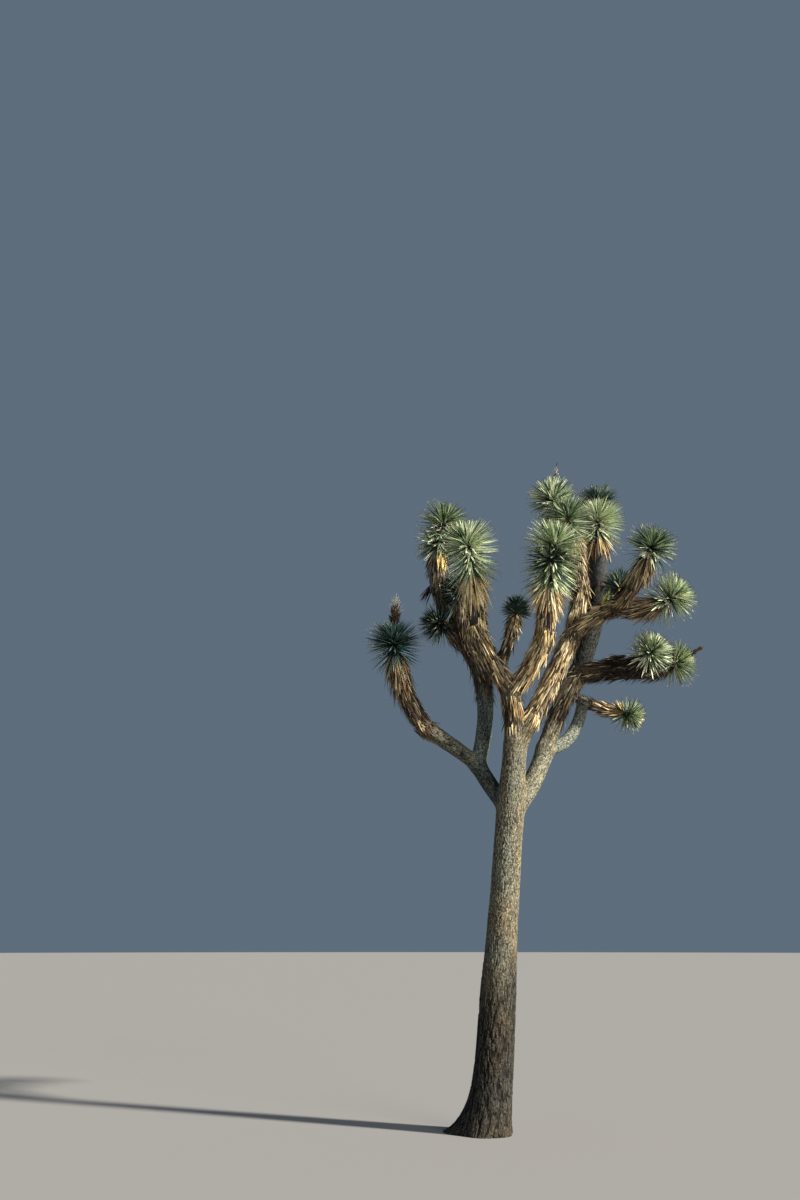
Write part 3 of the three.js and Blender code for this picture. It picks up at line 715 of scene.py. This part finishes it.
def skin_bark():
    """One smooth skin over trunk and limbs, with its relief and the numbers that colour it."""
    parts = [limb_tube(limb, 0.05, 48 if limb.level else 32) for limb in LIMB.values()]
    skin = make_mesh("bark", *joined(parts))
    remeshed(skin, BARK_VOXEL)
    points = vectors_of(skin.data.vertices, "co")
    for _ in range(3):
        gap, way, *_ = field(points)
        step = gap / np.maximum((way**2).sum(axis=1), 0.3)
        points -= np.clip(step, -PULL_IN, PULL_IN)[:, None] * way
    set_points(skin.data, points)
    normals = vectors_of(skin.data.vertex_normals, "vector")
    _, _, weights, outs, shares = field(points)
    grain, tallies = np.zeros((len(points), 3)), np.zeros((4, len(points)))
    label = weights.argmax(axis=0)
    for row, limb in enumerate(LIMB.values()):
        on = np.flatnonzero(weights[row] > 0.02)
        own_grain, *numbers = bark_relief(limb, outs[row, on], shares[row, on])
        tallies[:, on] += weights[row, on] * np.array(numbers)
        mine = label[on] == row
        grain[on[mine]] = own_grain[mine]
    relief, height, pale, warm = tallies
    set_points(skin.data, points + relief[:, None] * normals)
    values = {"grain": grain, "height": height, "pale": pale, "warm": warm, "limb": label.astype(float)}
    for name, numbers in values.items():
        set_attribute(skin.data, name, numbers)
    return skin


def part_of_skin(skin, name, limb_names):
    """The part of the bark on some limbs as a closed piece of its own, cut level at the ground."""
    rows = [list(LIMB).index(limb) for limb in limb_names]
    piece = placed(name, skin.data.copy())
    piece.data.name = name
    work = bmesh.new()
    work.from_mesh(piece.data)
    label = work.verts.layers.float["limb"]
    others = [face for face in work.faces if round(face.verts[0][label]) not in rows]
    bmesh.ops.delete(work, geom=others, context="FACES")
    everything = work.verts[:] + work.edges[:] + work.faces[:]
    bmesh.ops.bisect_plane(work, geom=everything, plane_co=(0, 0, 0), plane_no=(0, 0, -1), clear_outer=True)
    drop_small_islands(work)
    bmesh.ops.holes_fill(work, edges=work.edges[:], sides=0)
    work.to_mesh(piece.data)
    work.free()
    piece.data.attributes.remove(piece.data.attributes["limb"])
    return piece


def drop_small_islands(work, least=200):
    """Deletes loose bits with fewer than this many points."""
    unseen = set(work.verts)
    while unseen:
        island, edge = set(), [next(iter(unseen))]
        while edge:
            vert = edge.pop()
            if vert in island:
                continue
            island.add(vert)
            edge.extend(link.other_vert(vert) for link in vert.link_edges)
        unseen -= island
        if len(island) < least:
            bmesh.ops.delete(work, geom=list(island), context="VERTS")


def place_on(leaves, share):
    """The points at a share of each leaf's length."""
    along = leaves["way"] * share + leaves["sag"] * (leaves["arch"] * share**2)[:, None]
    return leaves["root"] + along * leaves["length"][:, None]


def leaf_mesh(leaves, stations, widths, section):
    """Points and triangles of closed blades of the given outline and cross-section, pointed at the tip."""
    count, rings, corners = len(leaves), len(stations), len(section)
    lift = np.cross(leaves["way"], leaves["flat"])
    points = np.empty((count, rings * corners + 1, 3))
    for ring, (share, wide) in enumerate(zip(stations, widths)):
        middle = place_on(leaves, share)
        for corner, (across, up) in enumerate(section):
            offset = leaves["flat"] * across + lift * up
            points[:, ring * corners + corner] = middle + offset * (leaves["width"] * wide)[:, None]
    points[:, -1] = place_on(leaves, 1)
    faces = []
    for ring in range(rings - 1):
        for corner in range(corners):
            a, b = ring * corners + corner, ring * corners + (corner + 1) % corners
            faces += [(a, b, b + corners), (a, b + corners, a + corners)]
    last = (rings - 1) * corners
    faces += [(last + k, last + (k + 1) % corners, rings * corners) for k in range(corners)]
    faces += [(0, k + 1, k) for k in range(1, corners - 1)]
    starts = np.arange(count)[:, None, None] * points.shape[1]
    return points.reshape(-1, 3), (np.array(faces)[None] + starts).reshape(-1, 3)


def sprouted(stem, at, lean, turn, length, width, arch, roll, sunk=ROOT_SUNK, pull=0.0):
    """Leaves that spring from a stem at shares of its run, leaning away from the way it grows by degrees.
    Pull turns them down where the stem stands up, and arch bends them down along their length."""
    lean = np.radians(lean)[:, None]
    growth = stem.curve.way(at)
    out = turned(unit(np.cross((0, 1, 0), growth)), growth, turn)
    hang = pull * np.maximum(0, growth[:, 2:]) ** 2 * DOWN
    way = unit(growth * np.cos(lean) + out * np.sin(lean) + hang)
    root = stem.curve.place(at) + out * np.maximum(0, stem.radius(at) - sunk)[:, None]
    flat = np.cross(growth, out)
    flat = turned(unit(flat - (flat * way).sum(axis=1, keepdims=True) * way), way, np.radians(roll))
    sag = unit(DOWN - (DOWN * way).sum(axis=1, keepdims=True) * way + 1e-6)
    leaves = np.empty(len(at), LEAF)
    for field, values in zip(LEAF.names, (root, way, flat, sag, length, width, arch)):
        leaves[field] = values
    return leaves


def nearest_gap(curve, points):
    """The distance from points to a curve, and the share of its run there."""
    shares = np.linspace(0, 1, 19)
    far = np.linalg.norm(points[:, None] - curve.place(shares)[None], axis=2)
    best = far.argmin(axis=1)
    return far[np.arange(len(points)), best], shares[best]


def keep_space(leaves, own):
    """True for leaves that stay nearer to their own stem than to any other, and off all limbs."""
    good = np.ones(len(leaves), bool)
    for share in (0.4, 0.7, 1.0):
        points = place_on(leaves, share)
        mine, at = nearest_gap(own.curve, points)
        good &= mine > own.radius(at) - ROOT_SUNK
        for head in HEAD.values():
            if head is not own:
                good &= nearest_gap(head.curve, points)[0] > mine - SPACE_MARGIN
        for limb in LIMB.values():
            good &= limb.reach(points)[0] > LEAF_CLEAR
    return good


def draws(random, count, *ranges):
    """For each range, a random number for each of count leaves."""
    return [random.uniform(low, high, count) for low, high in ranges]


def fan_leans(share, leans):
    """Leans between two of them that spread leaves evenly over a ball."""
    return np.degrees(np.arccos(np.interp(share, (0, 1), np.cos(np.radians(leans)))))


def grown(share):
    """How long young leaves are at shares of the way from the growing tip, against full-grown ones."""
    youngest, until = YOUNG
    return youngest + (1 - youngest) * smooth_step(0, until, share)


def live_leaves(head):
    """The live leaves of a head, and their age from 0 at the growing tip to 1: a golden spiral that stands
    up at the top and droops at the foot."""
    top, crown_blades, crown_leans = CROWN
    spacing, fall_leans = FALL
    crown = crown_blades * LEAVES_PER_BLADE
    falling = round((head.live - top) / spacing) * LEAVES_PER_BLADE
    count = crown + falling
    up, down = ((np.arange(number) + 0.5) / max(number, 1) for number in (crown, falling))
    back = np.concatenate([up * top, top + down * (head.live - top)])
    lean = np.concatenate([fan_leans(up, crown_leans), np.interp(down, (0, 1), fall_leans)])
    random = np.random.default_rng(head.index + 1)
    tilt, twist, long, wide, arch, roll = draws(random, count, *LIVE_DRAWS)
    turn = np.arange(count) * GOLDEN_TURN + twist
    age, young = back / head.live, grown(back / top)
    length = head.leaf * long * young * (1 - (1 - OLD_LEAF) * age)
    width = LEAF_WIDTH * wide * (0.5 + 0.5 * young)
    leaves = sprouted(head, head.share(back), lean + tilt, turn, length, width, arch, roll)
    keep = keep_space(leaves, head)
    return leaves[keep], age[keep]


def skirt_leaves(head):
    """The dead leaves below the live ones, splayed at the top and hanging further on, and how far each has
    the thatch's tones."""
    random = np.random.default_rng(head.index + 101)
    deepest = min(head.skirt, {**LONG_SKIRTS, **BARE_STEMS}.get(head.name, SKIRT_DEEPEST))
    count = round(SKIRT_PER_METRE * (deepest + 0.05) * (0.5 + 0.5 * head.slim))
    order = np.arange(count)
    depth = deepest * ((order + 0.5) / count) ** SKIRT_CROWDING
    tilt, twist, long, wide, arch, roll = draws(random, count, *SKIRT_DRAWS)
    first = HEAD_LOOKS[head.name][4]
    lean = np.interp(depth, SKIRT_DEPTHS, (first, (first + 180) / 2, *SKIRT_LEANS)) + tilt
    at, turn = head.share(head.live * SKIRT_START + depth), order * GOLDEN_TURN + twist
    length = head.leaf * DEAD_SHARE * long
    leaves = sprouted(head, at, lean, turn, length, DEAD_WIDTH * wide, arch, roll, pull=SKIRT_PULL)
    keep = keep_space(leaves, head)
    depth = depth[keep] * SKIRT_DEEPEST / max(deepest, SKIRT_DEEPEST)
    return leaves[keep], smooth_step(*SKIRT_TURNS, depth)


def thatch_leaves(stem, first, last, seed):
    """Dead leaves pressed flat on a stem between two shares of its run, with a few ragged ones, and how much
    each lies in a hollow of the lumpy thatch, which darkens it with painted shade."""
    random = np.random.default_rng(seed)
    run = (last - first) * stem.curve.run
    girth = 2 * math.pi * float(np.mean(stem.radius(np.array([first, last]))))
    count = round(THATCH_PER_AREA * run * girth)
    along, loose, ragged, pressed, turn, length, wide, arch, roll, sunk = draws(random, count, *THATCH_DRAWS)
    at = first + (np.arange(count) + along) / count * (last - first)
    lean = np.where(loose < RAGGED, ragged, pressed)
    high, per_turn, per_metre = THATCH_LUMPS
    places = per_turn * np.cos(turn), per_turn * np.sin(turn), per_metre * at * stem.curve.run
    lump = soft_noise(np.column_stack(places), seed)
    leaves = sprouted(stem, at, lean, turn, length, DEAD_WIDTH * wide, arch, roll, sunk - high * lump)
    # The share of painted shade: full in a hollow, none on a lump.
    return leaves, smooth_step(-HOLLOW, HOLLOW, -lump)


def tuft_leaves(stem, back, turn, spread, count, length, lean, raised, seed):
    """A tuft of leaves on one side of a stem."""
    random = np.random.default_rng(seed)
    twists = (-spread, spread)
    along, tilt, twist, long, wide, roll = draws(random, count, *TUFT_DRAWS[:2], twists, *TUFT_DRAWS[2:])
    at, turn = 1 - (back + along) / stem.curve.run, np.radians(turn + twist)
    return sprouted(stem, at, lean + tilt, turn, length * long, DEAD_WIDTH * wide, TUFT_ARCH, roll, -raised)


def whorl_leaves(head, back, axis, count, length, feet, seed):
    """The leaves of a second whorl, how far each is from its middle, and its white feet."""
    random = np.random.default_rng(seed)
    bud_length, radii = WHORL_BUD
    root = head.curve.place(head.share(back))
    bud = Stalk(root, root + bud_length * unit(np.array(axis)), radii)
    fans = []
    for number, reach, leans in ((count, length, CROWN[2]), (feet, 0.6 * length, FEET_LEANS)):
        share = (np.arange(number) + 0.5) / number
        tilt, wide, roll, long = draws(random, number, *WHORL_DRAWS)
        lean, turn, young = fan_leans(share, leans) + tilt, np.arange(number) * GOLDEN_TURN, grown(share)
        width = LEAF_WIDTH * wide * (0.5 + 0.5 * young)
        fans.append(sprouted(bud, 1 - 0.9 * share, lean, turn, reach * young * long, width, 0.0, roll, 0.004))
    return fans[0], (np.arange(count) + 0.5) / count, fans[1]


def deal(piles, random, leaves, name, young, old=None, age=0.0):
    """Puts each leaf on the pile of a tone, by a mix that changes with age from young to old. A pile also has
    the names of the heads that its leaves stand on."""
    mixes = MIXES[young], MIXES[old or young]
    tones = sorted({*mixes[0], *mixes[1]})
    young, old = (np.array([[mix.get(tone, 0)] for tone in tones]) / sum(mix.values()) for mix in mixes)
    odds = np.cumsum(young * (1 - age) + old * age, axis=0)
    picked = np.minimum((random.uniform(0, 1, len(leaves)) > odds).sum(axis=0), len(tones) - 1)
    for k, tone in enumerate(tones):
        if (picked == k).any():
            groups, heads = piles.setdefault(tone, ([], set()))
            groups.append(leaves[picked == k])
            heads.update({name} & set(HEAD))


def node(tree, kind, **settings):
    """A shader node with its settings, whose inputs are given by name or index in values."""
    made = tree.nodes.new(kind)
    for key, value in settings.pop("values", {}).items():
        made.inputs[key].default_value = value
    for key, value in settings.items():
        setattr(made, key, value)
    return made


def ramp(tree, fac, stops):
    """A colour ramp fed by a socket, with (position, colour) stops."""
    made = tree.nodes.new("ShaderNodeValToRGB")
    ends = made.color_ramp.elements
    while len(ends) < len(stops):
        ends.new(0.5)
    for end, (position, colour) in zip(ends, stops):
        end.position, end.color = position, (*colour, 1)
    tree.links.new(fac, made.inputs["Fac"])
    return made.outputs["Color"]


def mixed(tree, fac, first, second, blend="MIX"):
    """Two colours mixed; each of fac, first and second is a socket or a value."""
    made = node(tree, "ShaderNodeMix", data_type="RGBA", blend_type=blend)
    for key, value in ((0, fac), (6, first), (7, second)):
        if isinstance(value, bpy.types.NodeSocket):
            tree.links.new(value, made.inputs[key])
        else:
            made.inputs[key].default_value = value
    return made.outputs[2]


def noise(tree, vector, scale, detail=4, roughness=0.6):
    """A noise texture read at a vector socket."""
    made = node(tree, "ShaderNodeTexNoise", values={"Scale": scale, "Detail": detail, "Roughness": roughness})
    tree.links.new(vector, made.inputs["Vector"])
    return made.outputs["Fac"]


def new_material(name, roughness, specular=0.3):
    """An empty material with a surface shader."""
    material = bpy.data.materials.new(name)
    material.use_nodes = True
    shader = material.node_tree.nodes["Principled BSDF"]
    shader.inputs["Roughness"].default_value = roughness
    shader.inputs["Specular IOR Level"].default_value = specular
    return material, material.node_tree, shader


def bump(tree, shader, height, strength, distance):
    """Fine relief from a height socket."""
    made = node(tree, "ShaderNodeBump", values={"Strength": strength, "Distance": distance})
    tree.links.new(height, made.inputs["Height"])
    tree.links.new(made.outputs["Normal"], shader.inputs["Normal"])


def tinted(tree, colour, tint):
    """A colour times a tint."""
    return mixed(tree, 1.0, colour, tint, "MULTIPLY")


def speckled_material(name, roughness, specular, scale, stops, relief=None):
    """A material coloured by one noise, which also raises its relief of the given strength and distance."""
    material, tree, shader = new_material(name, roughness, specular)
    speckle = noise(tree, node(tree, "ShaderNodeTexCoord").outputs["Object"], scale)
    tree.links.new(ramp(tree, speckle, stops), shader.inputs["Base Color"])
    if relief:
        bump(tree, shader, speckle, *relief)
    return material


def bark_material():
    """Bark coloured by its relief, paleness and warmth, with grain along the limb; darker in furrows and
    under thatch as painted shade.
    """
    material, tree, shader = new_material("bark", 0.92, 0.2)
    grain = node(tree, "ShaderNodeAttribute", attribute_name="grain").outputs["Vector"]
    height, pale, warm = (node(tree, "ShaderNodeAttribute", attribute_name=name).outputs["Fac"]
                          for name in ("height", "pale", "warm"))
    long_grain = node(tree, "ShaderNodeVectorMath", operation="MULTIPLY", values={1: (1, 1, 0.45)})
    tree.links.new(grain, long_grain.inputs[0])
    # Both ramps darken the bark towards the furrows: painted shade.
    dark_bark = ramp(tree, height, ((0.05, (0.004, 0.0038, 0.0035)), (0.4, (0.016, 0.0145, 0.012)),
                                    (0.95, (0.062, 0.057, 0.047))))
    pale_bark = ramp(tree, height, ((0.05, (0.03, 0.026, 0.018)), (0.35, (0.13, 0.122, 0.09)),
                                    (0.9, (0.31, 0.297, 0.222))))
    colour = mixed(tree, pale, dark_bark, pale_bark)
    # The blue tint is painted skylit shade; the other tint is the bark's own warmth.
    blue_shade, warmer = (tinted(tree, colour, tint) for tint in ((0.72, 0.94, 1.18, 1), (1.2, 0.96, 0.74, 1)))
    colour = mixed(tree, warm, blue_shade, warmer)
    fleck = noise(tree, grain, 150, 5, 0.7)
    furrow = noise(tree, long_grain.outputs["Vector"], 92, 2, 0.5)
    # The second pattern draws thin dark lines: painted shade in narrow furrows.
    for pattern, stops in (
        (fleck, ((0.36, (0.22, 0.2, 0.18)), (0.5, (0.85, 0.84, 0.82)), (0.64, (1.9, 1.88, 1.82)))),
        (furrow, ((0.41, (1.2, 1.2, 1.18)), (0.49, (0.28, 0.26, 0.24)), (0.57, (1.2, 1.2, 1.18)))),
        (noise(tree, grain, 14, 3), ((0.35, (0.8, 0.82, 0.86)), (0.65, (1.16, 1.1, 1)))),
    ):
        colour = tinted(tree, colour, ramp(tree, pattern, stops))
    tree.links.new(colour, shader.inputs["Base Color"])
    bump(tree, shader, fleck, 1.0, 0.009)
    return material


def leaf_material(name, light, dark, roughness, specular):
    """A leaf tone that varies from leaf to leaf and along each leaf."""
    material, tree, shader = new_material(name, roughness, specular)
    spot = node(tree, "ShaderNodeTexCoord").outputs["Object"]
    fine = noise(tree, spot, 60, 3)
    colour = ramp(tree, noise(tree, spot, 7, 2), ((0.32, dark), (0.68, light)))
    shades = ramp(tree, fine, ((0.3, (0.72, 0.72, 0.72)), (0.7, (1.22, 1.22, 1.2))))
    tree.links.new(tinted(tree, colour, shades), shader.inputs["Base Color"])
    bump(tree, shader, fine, 0.25, 0.002)
    return material


def finish_piece(thing, material, replaced=(), smooth=True):
    """Gives a piece its material and its place in the frame."""
    thing.data.materials.clear()
    thing.data.materials.append(material)
    thing.data.shade_smooth() if smooth else thing.data.shade_flat()
    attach(thing, "root")
    if replaced:
        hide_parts(*replaced)


def leaf_piece(name, groups, blade, material, replaced=()):
    """A piece of groups of leaves, with the stations, widths and section of their blade."""
    thing = make_mesh(name, *leaf_mesh(np.concatenate(groups), *blade))
    finish_piece(thing, material, replaced, smooth=False)


def make_bark():
    """Trunk and limbs."""
    material, skin = bark_material(), skin_bark()
    for name, limbs in SKINS.items():
        finish_piece(part_of_skin(skin, name, limbs), material, limbs)
    bpy.data.objects.remove(skin)


def stem_tube(curve, radius, ring_spacing, side_count, rough):
    """Points and quads of an uneven tube along a curve."""
    shares, turns = np.linspace(0, 1, max(4, round(curve.run / ring_spacing))), around(side_count)
    places = curve.place(shares)
    spots = np.repeat(places * 40, side_count, axis=0)
    spots += 3 * np.tile(np.column_stack([np.cos(turns), np.sin(turns), 0 * turns]), (len(shares), 1))
    ripple = soft_noise(spots, 3).reshape(len(shares), side_count)
    return tube(places, *curve.across(shares), radius(shares)[:, None] + rough * ripple)


def make_stems():
    """The stems inside the heads."""
    # The stems' dark bluish grey is partly bark and partly painted shade in the gaps between dead leaves.
    stops = ((0.36, (0.009, 0.01, 0.012)), (0.66, (0.07, 0.074, 0.08)))
    material = speckled_material("stem_bark", 0.95, 0.2, 90, stops, (0.6, 0.004))
    stems = []
    for head in HEAD.values():
        under = 0 if head.name in BARE_STEMS else STEM_UNDER_THATCH
        stems.append(stem_tube(head.curve, lambda share: head.radius(share) - under, *STEM_TUBE))
    finish_piece(make_mesh("head_stems", *joined(stems)), material)


def grown_leaves():
    """Live leaves, skirts, thatch, tufts and whorls, dealt out by tone. Each kind has seeds of its own."""
    piles = {}
    for head in HEAD.values():
        random = np.random.default_rng(head.index + 201)
        young, old, skirt, thatch, _ = HEAD_LOOKS[head.name]
        first = float(head.share(head.live + BARE_STEMS[head.name])) if head.name in BARE_STEMS else 0
        last = float(head.share(head.live + SKIRT_SHOULDER))
        for (leaves, age), *mixes in (
            (live_leaves(head), young, old),
            (skirt_leaves(head), skirt, thatch),
            # The head's thatch takes the dark mix in its hollows as painted shade.
            (thatch_leaves(head, first, last, head.index + 301), thatch, "dark"),
        ):
            deal(piles, random, leaves, head.name, *mixes, age)
    for k, (name, (first, *mixes)) in enumerate(THATCH.items()):
        # Thatch in the hollows takes the darker mix as painted shade.
        leaves, hollow = thatch_leaves(LIMB[name], first, 1, k + 501)
        deal(piles, np.random.default_rng(k + 401), leaves, name, *mixes, hollow)
    for k, (name, *numbers, mix) in enumerate(TUFTS):
        leaves = tuft_leaves(HEAD.get(name) or LIMB[name], *numbers, k + 701)
        deal(piles, np.random.default_rng(k + 601), leaves, name, mix)
    for k, (name, *numbers) in enumerate(WHORLS):
        random = np.random.default_rng(k + 1001)
        leaves, share, feet = whorl_leaves(HEAD[name], *numbers, k + 1101)
        # The middle of each whorl takes painted shade, its outside the old leaves' mix.
        deal(piles, random, leaves, name, "whorl_shade", "pied", share)
        deal(piles, random, feet, name, "white")
    return piles


def make_leaves():
    """All leaves, in one piece for each tone, and the spines of the live ones."""
    piles = grown_leaves()
    for tone, (groups, heads) in piles.items():
        blade, gloss, slot = LIVE_LOOK if tone in LIVE_TONES else DEAD_LOOK
        material = leaf_material(tone + "_leaf", *TONES[tone], *gloss)
        leaf_piece(tone + "_leaves", groups, blade, material, sorted(heads))
    make_spines(np.concatenate([group for tone in LIVE_TONES for group in piles[tone][0]]))


def make_spines(leaves):
    """A horny brown spine on the tip of each live leaf."""
    spines = leaves.copy()
    spines["root"] = place_on(leaves, 0.97)
    spines["way"] = unit(place_on(leaves, 1) - spines["root"])
    spines["length"], spines["width"], spines["arch"] = SPINE_LENGTH, SPINE_WIDTH, 0
    stops = ((0.3, (0.05, 0.022, 0.012)), (0.7, (0.16, 0.08, 0.04)))
    material = speckled_material("spine", 0.4, 0.5, 8, stops)
    leaf_piece("leaf_spines", [spines], SPINE_BLADE, material)


def scales(stalk, seed, width, shares, count, length, leans):
    """Bracts or twigs on a flower stalk."""
    along, tilt, long, roll = draws(np.random.default_rng(seed), count, *SCALE_DRAWS)
    share = (np.arange(count) + along) / count
    at, lean = np.interp(share, (0, 1), shares), np.interp(share, (0, 1), leans) + tilt
    return sprouted(stalk, at, lean, np.arange(count) * GOLDEN_TURN, length * long, width, 0.0, roll, 0.002)


def make_flower_stalks():
    """The dry flower stalks: a thin stem in brown bracts, with pale bare twigs at the top."""
    stems, bracts, twigs = [], [], []
    for k, (name, length, lean, bract, twig) in enumerate(STALKS):
        heart = HEAD[name].heart
        stalk = Stalk(heart, heart + length * unit(np.array(lean)), STALK_RADII)
        stems.append(stem_tube(stalk.curve, stalk.radius, *STALK_TUBE))
        bracts.append(scales(stalk, k + 801, BRACT_WIDTH, *bract))
        twigs.append(scales(stalk, k + 901, TWIG_WIDTH, *twig))
    brown, pale = (leaf_material(name, *TONES[name], 0.85, 0.15) for name in ("bract", "flower_twig"))
    leaf_piece("flower_bracts", bracts, BRACT_BLADE, brown)
    leaf_piece("flower_twigs", twigs, TWIG_BLADE, pale)
    finish_piece(make_mesh("flower_stems", *joined(stems)), brown)


def make_stage():
    """A pale level floor, a plain sky, two soft suns and the camera."""
    floor = placed("floor", bpy.data.meshes.new("floor"))
    work = bmesh.new()
    bmesh.ops.create_circle(work, cap_ends=True, radius=FLOOR_RADIUS, segments=96)
    work.to_mesh(floor.data)
    work.free()
    material, _, shader = new_material("floor", 0.95, 0.1)
    shader.inputs["Base Color"].default_value = FLOOR_COLOUR
    floor.data.materials.append(material)

    world = bpy.data.worlds.new("sky")
    world.use_nodes = True
    background = world.node_tree.nodes["Background"]
    background.inputs["Color"].default_value = SKY_COLOUR
    background.inputs["Strength"].default_value = SKY_STRENGTH
    bpy.context.scene.world = world

    for name, (turn, height, spread, power, colour) in LAMPS.items():
        light = bpy.data.lights.new(name, "SUN")
        light.angle, light.energy, light.color = math.radians(spread), power, colour
        turn, height = math.radians(turn), math.radians(height)
        level = math.cos(height)
        towards = Vector((math.sin(turn) * level, -math.cos(turn) * level, math.sin(height)))
        placed(name, light).rotation_euler = towards.to_track_quat("Z", "Y").to_euler()

    camera = bpy.data.cameras.new("camera")
    camera.sensor_fit, camera.sensor_height, camera.lens = "VERTICAL", SENSOR, LENS
    viewer = placed("camera", camera)
    viewer.location = EYE
    viewer.rotation_euler = (math.pi / 2 + TILT_UP, 0, 0)
    bpy.context.scene.camera = viewer
    bpy.context.scene.view_settings.view_transform = "Standard"


make_stage()
make_bark()
make_stems()
make_leaves()
make_flower_stalks()
